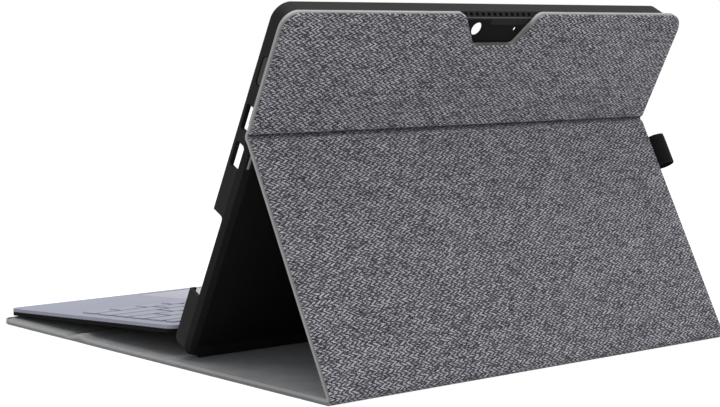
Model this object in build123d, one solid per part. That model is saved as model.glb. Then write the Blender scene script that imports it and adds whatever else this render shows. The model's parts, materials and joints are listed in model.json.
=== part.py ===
from build123d import *
from math import asin, cos, degrees, radians, sin, tan
import os

# Folding tablet keyboard case: a fabric cover of stiff panels, a snap-in tray that leans on
# its own stand panel, and a detachable keyboard docked at the tray's lower lip.
# Millimetres. +Z up, the user sits on the -Y side, the ports are on the +X side.
# Origin: on the surface that the cover lies on, below the tray's foot, at mid width.

# ---------------------------------------------------------------- driving dimensions
# Tablet that the tray is made for
TABLET_W = 287.0
TABLET_H = 208.0
TABLET_T = 9.3

# Tray
TRAY_PLAY = 0.5          # play round the tablet
TRAY_DEPTH_PLAY = 0.3    # play in front of the tablet
TRAY_WALL = 2.0
TRAY_BACK = 1.5
TRAY_LIP = 1.2
LIP_REACH = 2.0          # lip past the wall's inner face, on the top and the sides
LOWER_LIP_REACH = 5.0
TRAY_CORNER_R = 10.0
TRAY_CHAMFER = 2.4
LIP_EDGE_R = 0.8
BACK_FLANGE = 7.0        # the frame's flange round the back plate
PLATE_SEAM = 0.05

# Cover panels
COVER_PAST_TRAY = 4.0    # fabric past the tray on each side
FABRIC_T = 0.9
BOARD_T = 2.0
LINING_T = 0.7
BOARD_INSET = 1.0        # board edge inside the fabric edge
LINING_INSET = 0.5
STAND_SHARE = 142 / 208  # of the tablet's height: rear hinge to crease, and crease to foot
REST_ANGLE = 62.4        # degrees, of the stand and of the tray to the floor
RECLINE = 13.0           # degrees that the stand leans further back from rest
CREASE_PLAY = 0.15       # least space between the two panels at the crease
BEND_GAP = 0.2           # between two panels at a hinge line
SPINE_L = 22.0
SOFT_SPINE_L = 28.0      # unboarded bend in front of it
FLAP_L = 76.0
OUTWARD_BEND = 60.0      # degrees that the spine and the flap bend outwards
UPPER_CORNER_R = 10.0
FLAP_CORNER_R = 8.0
UPPER_OVERHANG = 1.3     # fabric past the tray's top edge
BACKING_T = 0.4
BACKING_TAIL = 20.0      # backing sheet below the crease
BACKING_INSET = 4.0
STAND_CLEAR = 0.3        # folded stand to backing sheet
FOOT_CLEAR = 0.3         # tray to lining with the tray upright

# Camera window in the upper panel
WINDOW_TOP_W = 62.0
WINDOW_BASE_W = 31.0
WINDOW_DEPTH = 19.0
WINDOW_R = 3.0
CAMERA_X = 13.0
CAMERA_DROP = 9.8        # below the tray's top edge
CAMERA_R = 4.0
CAMERA_PLATE_W = 18.0
CAMERA_PLATE_LOW = 16.8  # the plate's lower edge below the tray's top edge
CAMERA_PLATE_HIGH = 4.0  # and its upper edge
MIC_X = -16.0
MIC_R = 1.4
VENT_COUNT = 12
VENT_PITCH = 4.4
VENT_R = 1.1

# Side openings of the tray, along the tray from the crease or from its foot
PORTS_PAST_CREASE = (-15.0, 7.0)
PORT_L = 14.6
PORT_W = 7.6
PORT_R = 1.6
SIDE_CENTRE = 6.0        # depth of the ports and buttons from the tray's back face
NOTCH_LOW = 40.0
NOTCH_BELOW_CREASE = 51.0
NOTCH_STRIP = 2.6        # wall left behind the connector notch
NOTCH_R = 2.0
BUTTON_PAST_CREASE = 34.5
VOLUME_PAST_CREASE = 28.0
VOLUME_L = 28.0
BUTTON_L = 16.4
BUTTON_W = 4.8
BUTTON_T = 1.5
BUTTON_GAP = 0.25
BUTTON_SUNK = 0.3
BUTTON_TRAVEL = 0.5

# Magnets and steel
FOOT_MAGNET = (16.0, 5.0, 1.0)
FOOT_MAGNET_X = (-110.0, -66.0, -22.0, 22.0, 66.0, 110.0)
STRIP_STEP = 10.5        # degrees of stand angle between the strips
STRIP_L = 262.0
STRIP_W = 9.0
STRIP_T = 0.4
DISC_R = 5.0
DISC_T = 1.5
DISC_X = (-112.0, -58.0, 58.0, 112.0)
DISC_FROM_EDGE = 24.0
MAGNET_FIT = 0.05

# Pen loop on the stand's free edge
LOOP_R = 5.4
LOOP_T = 0.8
LOOP_L = 19.0
LOOP_BELOW_CREASE = 24.0
LOOP_TAIL = 12.0

# Keyboard
KEYBOARD_NARROWER = 4.0  # than the tray
KEYBOARD_SHORTER = 18.0  # than the tablet
DECK_T = 2.0
TUB_T = 2.4
TUB_FLOOR = 0.8
TUB_WALL = 2.2
KEYBOARD_CORNER_R = 7.0
HINGE_REACH = 2.5        # hinge line to the keyboard's rear edge
DOCK_SIDE = 21.0         # tray past each end of the dock strip
DOCK_LOW = 0.9           # dock strip above the tray's foot
DOCK_H = 5.6
DOCK_T = 2.4
DOCK_GAP = 0.2
DOCK_PLATE_T = 0.5
DOCK_PLATE_FIT = 0.1
HINGE_ROD_R = 0.5
HINGE_OFFSET_V = 0.7     # hinge line above the dock strip
HINGE_OFFSET_D = 0.3     # and in front of it
TONGUE_T = 0.7
DOCK_MAGNET = (20.0, 3.6, 1.4)
DOCK_MAGNET_COUNT = 8
NOSE_W = 28.0
NOSE_H = 3.0
NOSE_REACH = 1.4
NOSE_GAP = 0.3
PIN_COUNT = 8
PIN_R = 0.5
PIN_PITCH = 3.0
PIN_OUT = 0.4

# Keys
KEYS_SIDE = 7.7          # keyboard past the keys
FUNCTION_DEPTH = 11.6
KEY_SPACE = 2.8
KEY_GAP = 0.35
KEY_T = 2.0
KEY_PROUD = 0.8
KEY_R = 1.6
KEY_EDGE = 0.35
KEY_TRAVEL = 1.2
KEYS_FROM_REAR = 12.0
PLATE_T = 0.4
SHEET_T = 0.3
PAD_W = 104.0
PAD_L = 56.0
PAD_FROM_FRONT = 7.0
PAD_TO_KEYS = 11.4
PAD_GAP = 0.3
PAD_T = 1.2
PAD_SUNK = 0.1
PAD_TRAVEL = 0.3
BOARD_PCB_T = 0.6

# Key widths of each row in key units, from the left; every row is as long as the others
ROWS = {
    "number": [1.0] * 13 + [1.5],
    "upper": [1.5] + [1.0] * 13,
    "home": [1.75] + [1.0] * 11 + [1.75],
    "lower": [2.25] + [1.0] * 10 + [2.25],
    "bottom": [1.0] * 4 + [5.5] + [1.0] * 5,
}
FUNCTION_KEYS = 14
ROW_UNITS = 14.5

# ---------------------------------------------------------------- worked-out sizes
STAND_L = STAND_SHARE * TABLET_H
FRONT_L = TABLET_H                                 # board part of the front cover
PANEL_T = FABRIC_T + BOARD_T + LINING_T
ANGLE = radians(REST_ANGLE)
HINGE_Y = 2 * STAND_L * cos(ANGLE)                 # rear hinge line
SPINE_Y = HINGE_Y - SPINE_L                        # hinge line of spine and front cover
FRONT_Y = SPINE_Y - FRONT_L                        # front end of the front board
FLAP_Y = FRONT_Y - SOFT_SPINE_L / 2                # bend line of the closure flap
FLAP_BOARD_Y = FRONT_Y - SOFT_SPINE_L
END_Y = FLAP_BOARD_Y - FLAP_L
CREASE_HALF = PANEL_T * tan(radians(90 - REST_ANGLE + RECLINE)) + CREASE_PLAY
LINING_HALF = LINING_T * tan(radians(90 - REST_ANGLE + RECLINE)) + CREASE_PLAY
OUT_HALF = PANEL_T / 2 * tan(radians(OUTWARD_BEND / 2)) + BEND_GAP / 2

POCKET_W = TABLET_W + 2 * TRAY_PLAY
POCKET_H = TABLET_H + 2 * TRAY_PLAY
TRAY_W = POCKET_W + 2 * TRAY_WALL
TRAY_H = POCKET_H + 2 * TRAY_WALL
COVER_W = TRAY_W + 2 * COVER_PAST_TRAY
TRAY_D = TRAY_BACK + TABLET_T + TRAY_DEPTH_PLAY + TRAY_LIP
TRAY_LOW = FOOT_CLEAR                              # along the tray, from the hinge triangle's foot
TRAY_TOP = TRAY_LOW + TRAY_H
TRAY_MID = TRAY_LOW + TRAY_H / 2
TRAY_REAR = BACKING_T + STAND_CLEAR                # depth of the tray's back face
TRAY_FACE = TRAY_REAR + TRAY_D                     # depth of the front of its lips
FLOOR_OF_POCKET = TRAY_REAR + TRAY_BACK
SIDE_DEPTH = TRAY_REAR + SIDE_CENTRE
POCKET_LOW = TRAY_LOW + TRAY_WALL
UPPER_TOP = TRAY_TOP + UPPER_OVERHANG
UPPER_LOW = STAND_L + CREASE_HALF
PLATE_W = TRAY_W - 2 * BACK_FLANGE
PLATE_H = TRAY_H - 2 * BACK_FLANGE
PORT_HEIGHTS = [STAND_L + past for past in PORTS_PAST_CREASE]
NOTCH_HIGH = STAND_L - NOTCH_BELOW_CREASE
BUTTON_HEIGHT = STAND_L + BUTTON_PAST_CREASE
VOLUME_HEIGHT = STAND_L + VOLUME_PAST_CREASE
LOOP_CENTRE = STAND_L - LOOP_BELOW_CREASE          # along the stand from the rear hinge

KEYBOARD_W = TRAY_W - KEYBOARD_NARROWER
KEYBOARD_L = TABLET_H - KEYBOARD_SHORTER
KEYBOARD_T = TUB_T + DECK_T
DOCK_W = TRAY_W - 2 * DOCK_SIDE
KEY_UNIT = (KEYBOARD_W - 2 * KEYS_SIDE) / ROW_UNITS
KEYS_L = KEYBOARD_L - KEYS_FROM_REAR - PAD_TO_KEYS - PAD_L - PAD_FROM_FRONT
KEY_DEPTH_UNIT = (KEYS_L - FUNCTION_DEPTH) / len(ROWS)
DOCK_BACK = TRAY_FACE + DOCK_GAP
DOCK_FACE = DOCK_BACK + DOCK_T
DOCK_TOP = DOCK_LOW + DOCK_H
DOCK_MID = DOCK_LOW + DOCK_H / 2
AXIS_V = DOCK_TOP + HINGE_OFFSET_V
AXIS_D = DOCK_FACE + HINGE_OFFSET_D
FRONT_REACH = HINGE_REACH + KEYBOARD_L


def deck_slope(lean):
    """Slope in degrees at which the keyboard's front edge clears the cover, for a tray lean."""
    rise = AXIS_D * sin(radians(lean)) + AXIS_V * cos(radians(lean))
    return degrees(asin((rise - TONGUE_T / 2 - FOOT_CLEAR) / FRONT_REACH))


# The keyboard keeps nearly level as the tray moves: its slope runs evenly between the slopes
# that the two ends of the stand's travel ask for.
UPRIGHT = 90 - REST_ANGLE - 0.2                    # stand travel to folded up
SLOPE_FOLDED = deck_slope(90 - REST_ANGLE - UPRIGHT)
SLOPE_RECLINED = deck_slope(90 - REST_ANGLE + RECLINE)
SLOPE_RATE = (SLOPE_RECLINED - SLOPE_FOLDED) / (UPRIGHT + RECLINE)
DECK_SLOPE = SLOPE_FOLDED + SLOPE_RATE * UPRIGHT
LEVEL_RATIO = 1 + SLOPE_RATE                       # keyboard hinge per unit of stand fold

# Each frame has X across, Y along its panel and Z towards the inner side, zero at the lining
floor_frame = Plane(origin=(0, 0, PANEL_T), x_dir=(1, 0, 0), z_dir=(0, 0, 1))
tray_frame = Plane(origin=(0, 0, PANEL_T), x_dir=(1, 0, 0), z_dir=(0, -sin(ANGLE), cos(ANGLE)))
stand_frame = Plane(
    origin=(0, HINGE_Y, PANEL_T), x_dir=(1, 0, 0), z_dir=(0, -sin(ANGLE), -cos(ANGLE))
)
slope = radians(DECK_SLOPE)
deck_frame = Plane(
    origin=tray_frame.from_local_coords((0, AXIS_V, AXIS_D)),
    x_dir=(1, 0, 0),
    z_dir=(0, -sin(slope), cos(slope)),
)
deck_low = -TONGUE_T / 2                           # keyboard's underside in the deck frame
deck_top = deck_low + KEYBOARD_T

parts = {}


# ---------------------------------------------------------------- helpers
def rect(x0, x1, y0, y1, low_r=0.0, high_r=0.0):
    """Flat rectangle, with its lower and its upper corners rounded where a radius is given."""
    shape = Pos((x0 + x1) / 2, (y0 + y1) / 2) * Rectangle(x1 - x0, y1 - y0)
    if high_r:
        shape = fillet(shape.vertices().group_by(Axis.Y)[-1], high_r)
    if low_r:
        shape = fillet(shape.vertices().group_by(Axis.Y)[0], low_r)
    return shape


def rounded(width, height, radius, x=0.0, y=0.0):
    return Pos(x, y) * RectangleRounded(width, height, radius)


def slab(frame, shape, z0, z1):
    """A flat shape of a frame given thickness from z0 to z1."""
    return extrude(frame.offset(z0) * shape, z1 - z0)


def group(solids):
    return Compound(children=list(solids))


def panel(name, frame, fabric, board, lining, low_r=0.0):
    """Outer fabric, board and lining of one flat panel, each from one Y to another."""
    half = COVER_W / 2
    layers = (
        ("_fabric", half, fabric, low_r, -PANEL_T, -PANEL_T + FABRIC_T),
        ("_board", half - BOARD_INSET, board, low_r, -PANEL_T + FABRIC_T, -LINING_T),
        ("_lining", half - LINING_INSET, lining, low_r, -LINING_T, 0),
    )
    for layer, side, (y0, y1), radius, z0, z1 in layers:
        parts[name + layer] = slab(frame, rect(-side, side, y0, y1, radius), z0, z1)


# ---------------------------------------------------------------- cover panels
def make_cover():
    bend = BEND_GAP / 2
    panel(
        "front_cover",
        floor_frame,
        fabric=(FLAP_Y + OUT_HALF, SPINE_Y - OUT_HALF),
        board=(FRONT_Y, SPINE_Y - OUT_HALF - BOARD_INSET),
        lining=(FLAP_Y + bend, SPINE_Y - bend),
    )
    panel(
        "closure_flap",
        floor_frame,
        fabric=(END_Y, FLAP_Y - OUT_HALF),
        board=(END_Y + BOARD_INSET, FLAP_BOARD_Y),
        lining=(END_Y + LINING_INSET, FLAP_Y - bend),
        low_r=FLAP_CORNER_R,
    )
    panel(
        "spine",
        floor_frame,
        fabric=(SPINE_Y + OUT_HALF, HINGE_Y - BEND_GAP),
        board=(SPINE_Y + OUT_HALF + BOARD_INSET, HINGE_Y - BOARD_INSET),
        lining=(SPINE_Y + bend, HINGE_Y - BEND_GAP),
    )
    panel(
        "stand",
        stand_frame,
        fabric=(BEND_GAP, STAND_L - CREASE_HALF),
        board=(BOARD_INSET, STAND_L - CREASE_HALF),
        lining=(BEND_GAP, STAND_L - LINING_HALF),
    )
    # The outer fabric rolls round the rear hinge line and keeps clear of the folded stand
    roll = Cylinder(PANEL_T, COVER_W) - Cylinder(PANEL_T - FABRIC_T, COVER_W)
    roll = Pos(0, HINGE_Y, PANEL_T) * Rot(0, 90, 0) * roll
    quarter = Box(COVER_W, PANEL_T, PANEL_T, align=(Align.CENTER, Align.MIN, Align.MAX))
    roll = roll & (Pos(0, HINGE_Y, PANEL_T - BEND_GAP) * quarter)
    bridge = Pos(0, HINGE_Y - BEND_GAP, 0) * Box(
        COVER_W, BEND_GAP, FABRIC_T, align=(Align.CENTER, Align.MIN, Align.MIN)
    )
    parts["spine_fabric"] = parts["spine_fabric"] + bridge + roll


def foot_depth(angle):
    """Where the middle of the tray's foot stands for a stand angle, on the Y axis."""
    lean = radians(angle)
    return HINGE_Y - 2 * STAND_L * cos(lean) - (TRAY_REAR + TRAY_D / 2) * sin(lean)


def make_foot_strips():
    """Steel strips let into the front board, one under each place where the foot stands."""
    strips = []
    pockets = []
    for angle in (REST_ANGLE - STRIP_STEP, REST_ANGLE, REST_ANGLE + STRIP_STEP):
        y = foot_depth(angle)
        low = (y - STRIP_W / 2, y + STRIP_W / 2)
        fit = MAGNET_FIT
        strip = rect(-STRIP_L / 2, STRIP_L / 2, *low)
        pocket = rect(-STRIP_L / 2 - fit, STRIP_L / 2 + fit, low[0] - fit, low[1] + fit)
        strips.append(slab(floor_frame, strip, -LINING_T - STRIP_T, -LINING_T))
        pockets.append(slab(floor_frame, pocket, -LINING_T - STRIP_T, -LINING_T))
    parts["front_cover_board"] = parts["front_cover_board"] - pockets
    parts["foot_strips"] = group(strips)


def discs(frame, y, z_top):
    """Four closure magnets in a row and the pockets that hold them."""
    magnets = []
    pockets = []
    for x in DISC_X:
        magnet = frame.offset(z_top - DISC_T) * Pos(x, y) * Circle(DISC_R)
        pocket = frame.offset(z_top - DISC_T) * Pos(x, y) * Circle(DISC_R + MAGNET_FIT)
        magnets.append(extrude(magnet, DISC_T))
        pockets.append(extrude(pocket, DISC_T))
    return magnets, pockets


def make_flap_magnets():
    magnets, pockets = discs(floor_frame, END_Y + DISC_FROM_EDGE, -LINING_T)
    parts["closure_flap_board"] = parts["closure_flap_board"] - pockets
    parts["flap_magnets"] = group(magnets)


def make_pen_loop():
    """Elastic tube beside the stand's free edge, with its tail stitched into the panel."""
    mid = -LINING_T - BOARD_T / 2
    centre_x = -COVER_W / 2 - LOOP_R - LOOP_T
    y0 = LOOP_CENTRE - LOOP_L / 2
    section = Plane(
        origin=stand_frame.from_local_coords((centre_x, y0, mid)),
        x_dir=(1, 0, 0),
        z_dir=stand_frame.y_dir,
    )
    ring = Circle(LOOP_R + LOOP_T) - Circle(LOOP_R)
    tube = extrude(section * ring, LOOP_L)
    tail_out = centre_x + LOOP_R + LOOP_T / 2
    tail_in = -COVER_W / 2 + LOOP_TAIL
    tail = slab(
        stand_frame,
        rect(tail_out, tail_in, y0, y0 + LOOP_L),
        mid - LOOP_T,
        mid + LOOP_T,
    )
    slot = slab(
        stand_frame,
        rect(-COVER_W, tail_in + MAGNET_FIT, y0 - MAGNET_FIT, y0 + LOOP_L + MAGNET_FIT),
        -PANEL_T + FABRIC_T,
        -LINING_T,
    )
    parts["pen_loop"] = tube + tail
    parts["stand_board"] = parts["stand_board"] - slot


# ---------------------------------------------------------------- upper panel on the tray
def window_shape():
    """Camera window: a trapezium open at the panel's top edge, with rounded inner corners."""
    low = UPPER_TOP - WINDOW_DEPTH
    high = UPPER_TOP + WINDOW_R
    grow = (WINDOW_TOP_W - WINDOW_BASE_W) / 2 / WINDOW_DEPTH * WINDOW_R
    outline = Polyline(
        (-WINDOW_BASE_W / 2, low),
        (WINDOW_BASE_W / 2, low),
        (WINDOW_TOP_W / 2 + grow, high),
        (-WINDOW_TOP_W / 2 - grow, high),
        (-WINDOW_BASE_W / 2, low),
    )
    shape = make_face(outline)
    return fillet(shape.vertices().group_by(Axis.Y)[0], WINDOW_R)


def make_upper_panel():
    half = COVER_W / 2
    board = half - BOARD_INSET
    window = window_shape()
    fabric = rect(-half, half, UPPER_LOW, UPPER_TOP, high_r=UPPER_CORNER_R) - window
    stiff = (
        rect(-board, board, UPPER_LOW, UPPER_TOP - BOARD_INSET, high_r=UPPER_CORNER_R - BOARD_INSET)
        - window
    )
    parts["upper_fabric"] = slab(tray_frame, fabric, -PANEL_T, -PANEL_T + FABRIC_T)
    magnets, pockets = discs(
        tray_frame, UPPER_LOW + DISC_FROM_EDGE, -PANEL_T + FABRIC_T + DISC_T
    )
    parts["upper_board"] = slab(tray_frame, stiff, -PANEL_T + FABRIC_T, STAND_CLEAR) - pockets
    parts["upper_magnets"] = group(magnets)
    sheet_half = TRAY_W / 2 - BACKING_INSET
    sheet = (
        rect(-sheet_half, sheet_half, STAND_L - BACKING_TAIL, TRAY_TOP - BACKING_INSET)
        - window
    )
    parts["backing_sheet"] = slab(tray_frame, sheet, STAND_CLEAR, STAND_CLEAR + BACKING_T)


# ---------------------------------------------------------------- tray
def side_cut(height, depth, length, width, radius, side):
    """A rounded slot through one side wall, long along the tray."""
    plane = Plane(
        origin=tray_frame.from_local_coords((side * (POCKET_W / 2 - TRAY_WALL), height, depth)),
        x_dir=tray_frame.y_dir,
        z_dir=(side, 0, 0),
    )
    return extrude(plane * RectangleRounded(length, width, radius), 3 * TRAY_WALL)


def make_tray():
    outer = rounded(TRAY_W, TRAY_H, TRAY_CORNER_R, y=TRAY_MID)
    pocket = rounded(POCKET_W, POCKET_H, TRAY_CORNER_R - TRAY_WALL, y=TRAY_MID)
    mouth_low = POCKET_LOW + LOWER_LIP_REACH
    mouth_high = POCKET_LOW + POCKET_H - LIP_REACH
    mouth_half = POCKET_W / 2 - LIP_REACH
    mouth_r = TRAY_CORNER_R - TRAY_WALL - LIP_REACH / 2
    mouth = rect(-mouth_half, mouth_half, mouth_low, mouth_high, mouth_r, mouth_r)
    camera_x = (CAMERA_X - CAMERA_PLATE_W / 2, CAMERA_X + CAMERA_PLATE_W / 2)
    camera_low = TRAY_TOP - CAMERA_PLATE_LOW
    camera_high = TRAY_TOP - CAMERA_PLATE_HIGH
    seat = rounded(PLATE_W, PLATE_H, TRAY_WALL, y=TRAY_MID)
    seat = seat + rect(*camera_x, camera_low, camera_high)

    # The outside is shaped flat on the XY plane, where its rims are easy to name
    body = extrude(outer, TRAY_D)
    body = chamfer(body.edges().group_by(Axis.Z)[0], TRAY_CHAMFER)
    body = fillet(body.edges().group_by(Axis.Z)[-1], LIP_EDGE_R)
    # The foot stands on a square heel, which fills the chamfer between the lower corners
    heel = Box(
        TRAY_W - 2 * TRAY_CORNER_R,
        TRAY_CHAMFER,
        TRAY_CHAMFER,
        align=(Align.CENTER, Align.MIN, Align.MIN),
    )
    body = body + Pos(0, TRAY_LOW, 0) * heel
    body = body - Pos(0, 0, TRAY_BACK) * extrude(pocket, TRAY_D - TRAY_BACK - TRAY_LIP)
    body = body - Pos(0, 0, TRAY_BACK) * extrude(mouth, TRAY_D)
    body = body - extrude(seat, TRAY_D - TRAY_LIP)
    frame = tray_frame.offset(TRAY_REAR).location * body

    for height in PORT_HEIGHTS:
        frame = frame - side_cut(height, SIDE_DEPTH, PORT_L, PORT_W, PORT_R, 1)
    frame = frame - side_cut(
        BUTTON_HEIGHT, SIDE_DEPTH, BUTTON_L + 2 * BUTTON_GAP, BUTTON_W + 2 * BUTTON_GAP,
        BUTTON_W / 2 + BUTTON_GAP - 0.01, 1,
    )
    frame = frame - side_cut(
        VOLUME_HEIGHT, SIDE_DEPTH, VOLUME_L + 2 * BUTTON_GAP, BUTTON_W + 2 * BUTTON_GAP,
        BUTTON_W / 2 + BUTTON_GAP - 0.01, -1,
    )
    # Connector notch, open to the front
    notch_depth = TRAY_D
    notch_centre = TRAY_REAR + NOTCH_STRIP + notch_depth / 2
    frame = frame - side_cut(
        (NOTCH_LOW + NOTCH_HIGH) / 2, notch_centre, NOTCH_HIGH - NOTCH_LOW, notch_depth, NOTCH_R, 1
    )
    # Vents through the top chamfer, square to it
    tilt = Plane(
        origin=tray_frame.from_local_coords(
            (0, TRAY_TOP - TRAY_CHAMFER / 2, TRAY_REAR + TRAY_CHAMFER / 2)
        ),
        x_dir=(1, 0, 0),
        z_dir=tray_frame.y_dir - tray_frame.z_dir,
    )
    for i in range(VENT_COUNT):
        x = (i - (VENT_COUNT - 1) / 2) * VENT_PITCH
        vent = extrude(tilt * Pos(x, 0) * Circle(VENT_R), TRAY_WALL, both=True)
        frame = frame - vent

    # Window for the keyboard's contacts, and the seats of the dock plates and foot magnets
    nose = rect(
        -NOSE_W / 2 - NOSE_GAP,
        NOSE_W / 2 + NOSE_GAP,
        DOCK_MID - NOSE_H / 2 - NOSE_GAP,
        DOCK_MID + NOSE_H / 2 + NOSE_GAP,
    )
    frame = frame - slab(tray_frame, nose, TRAY_FACE - TRAY_LIP, TRAY_FACE)
    plates = []
    for side in (-1, 1):
        near = NOSE_W / 2 + 2 * TRAY_WALL
        far = DOCK_W / 2
        low = DOCK_LOW + TRAY_LIP
        high = DOCK_TOP - TRAY_LIP / 2
        x0, x1 = sorted((side * near, side * far))
        fit = DOCK_PLATE_FIT
        front = TRAY_FACE - DOCK_PLATE_T
        plates.append(slab(tray_frame, rect(x0, x1, low, high), front, TRAY_FACE))
        recess = rect(x0 - fit, x1 + fit, low - fit, high + fit)
        frame = frame - slab(tray_frame, recess, front, TRAY_FACE)
    parts["dock_plates"] = group(plates)

    magnets = []
    length, width, thick = FOOT_MAGNET
    centre = FLOOR_OF_POCKET + TABLET_T / 2
    for x in FOOT_MAGNET_X:
        shape = rect(x - length / 2, x + length / 2, POCKET_LOW - thick, POCKET_LOW)
        magnets.append(slab(tray_frame, shape, centre - width / 2, centre + width / 2))
        fit = MAGNET_FIT
        hole = rect(x - length / 2 - fit, x + length / 2 + fit, POCKET_LOW - thick, POCKET_LOW)
        frame = frame - slab(tray_frame, hole, centre - width / 2 - fit, centre + width / 2 + fit)
    parts["foot_magnets"] = group(magnets)
    parts["tray_frame"] = frame

    # Back plate: one big piece, and two beside the camera's own small plate
    seam = PLATE_SEAM
    plate = rounded(PLATE_W - 2 * seam, PLATE_H - 2 * seam, TRAY_WALL - seam, y=TRAY_MID)
    areas = (
        rect(-PLATE_W, PLATE_W, 0, camera_low - seam),
        rect(-PLATE_W, camera_x[0] - seam, camera_low + seam, TRAY_TOP),
        rect(camera_x[1] + seam, PLATE_W, camera_low + seam, TRAY_TOP),
    )
    mic = Pos(MIC_X, TRAY_TOP - CAMERA_DROP) * Circle(MIC_R)
    parts["tray_back_plate"] = group(
        slab(tray_frame, (plate & area) - mic, TRAY_REAR, FLOOR_OF_POCKET) for area in areas
    )
    shape = rect(camera_x[0] + seam, camera_x[1] - seam, camera_low + seam, camera_high - seam)
    shape = shape - Pos(CAMERA_X, TRAY_TOP - CAMERA_DROP) * Circle(CAMERA_R)
    parts["camera_plate"] = slab(tray_frame, shape, TRAY_REAR, FLOOR_OF_POCKET)


def make_buttons():
    """Button covers that float in pill-shaped slots of the side walls."""
    for name, side, height, length in (
        ("power_button_pad", 1, BUTTON_HEIGHT, BUTTON_L),
        ("volume_button_pad", -1, VOLUME_HEIGHT, VOLUME_L),
    ):
        outside = side * (TRAY_W / 2 - BUTTON_SUNK)
        plane = Plane(
            origin=tray_frame.from_local_coords((outside, height, SIDE_DEPTH)),
            x_dir=tray_frame.y_dir,
            z_dir=(-side, 0, 0),
        )
        pad = extrude(plane * RectangleRounded(length, BUTTON_W, BUTTON_W / 2 - 0.01), BUTTON_T)
        parts[name] = pad


# ---------------------------------------------------------------- keyboard
def make_dock():
    """Magnetic strip that clings to the tray's lower lip, with its contact nose."""
    half = DOCK_W / 2
    strip = slab(tray_frame, rect(-half, half, DOCK_LOW, DOCK_TOP, 1.0, 1.0), DOCK_BACK, DOCK_FACE)
    nose = rect(-NOSE_W / 2, NOSE_W / 2, DOCK_MID - NOSE_H / 2, DOCK_MID + NOSE_H / 2)
    strip = strip + slab(tray_frame, nose, DOCK_BACK - NOSE_REACH, DOCK_BACK)
    magnets = []
    length, width, thick = DOCK_MAGNET
    room = half - NOSE_W / 2 - 2 * TRAY_WALL
    per_side = DOCK_MAGNET_COUNT // 2
    for side in (-1, 1):
        for i in range(per_side):
            x = side * (NOSE_W / 2 + 2 * TRAY_WALL + room * (i + 0.5) / per_side)
            shape = Pos(x, DOCK_MID) * Rectangle(length, width)
            hole = Pos(x, DOCK_MID) * Rectangle(length + 2 * MAGNET_FIT, width + 2 * MAGNET_FIT)
            magnets.append(slab(tray_frame, shape, DOCK_BACK, DOCK_BACK + thick))
            strip = strip - slab(tray_frame, hole, DOCK_BACK, DOCK_BACK + thick)
    pins = []
    for i in range(PIN_COUNT):
        x = (i - (PIN_COUNT - 1) / 2) * PIN_PITCH
        spot = Pos(x, DOCK_MID) * Circle(PIN_R)
        tip = DOCK_BACK - NOSE_REACH
        pins.append(slab(tray_frame, spot, tip - PIN_OUT, tip + DOCK_T / 2))
        drill = Pos(x, DOCK_MID) * Circle(PIN_R + MAGNET_FIT)
        strip = strip - slab(tray_frame, drill, tip, tip + DOCK_T / 2)
    parts["dock_strip"] = strip
    parts["dock_magnets"] = group(magnets)
    parts["contact_pins"] = group(pins)
    rod = Rot(0, 90, 0) * Cylinder(HINGE_ROD_R, DOCK_W)
    parts["hinge_roll"] = Pos(*deck_frame.origin) * rod


def key_cells():
    """Name, x, y, width and depth of every key cap, in the deck frame."""
    cells = {}
    left = -ROW_UNITS * KEY_UNIT / 2
    y = -HINGE_REACH - KEYS_FROM_REAR
    pitch = ROW_UNITS * KEY_UNIT / FUNCTION_KEYS
    row_y = y - FUNCTION_DEPTH / 2
    cells["function"] = [
        (left + (i + 0.5) * pitch, row_y, pitch - KEY_SPACE, FUNCTION_DEPTH - KEY_SPACE)
        for i in range(FUNCTION_KEYS)
    ]
    y -= FUNCTION_DEPTH
    for name, widths in ROWS.items():
        x = left
        row_y = y - KEY_DEPTH_UNIT / 2
        row = []
        for units in widths:
            width = units * KEY_UNIT
            row.append((x + width / 2, row_y, width - KEY_SPACE, KEY_DEPTH_UNIT - KEY_SPACE))
            x += width
        cells[name] = row
        y -= KEY_DEPTH_UNIT
    return cells


def key_cap(width, depth):
    """Flat key cap with softened upper edges, standing on the XY plane."""
    cap = extrude(RectangleRounded(width, depth, KEY_R), KEY_T)
    return chamfer(cap.edges().group_by(Axis.Z)[-1], KEY_EDGE)


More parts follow.
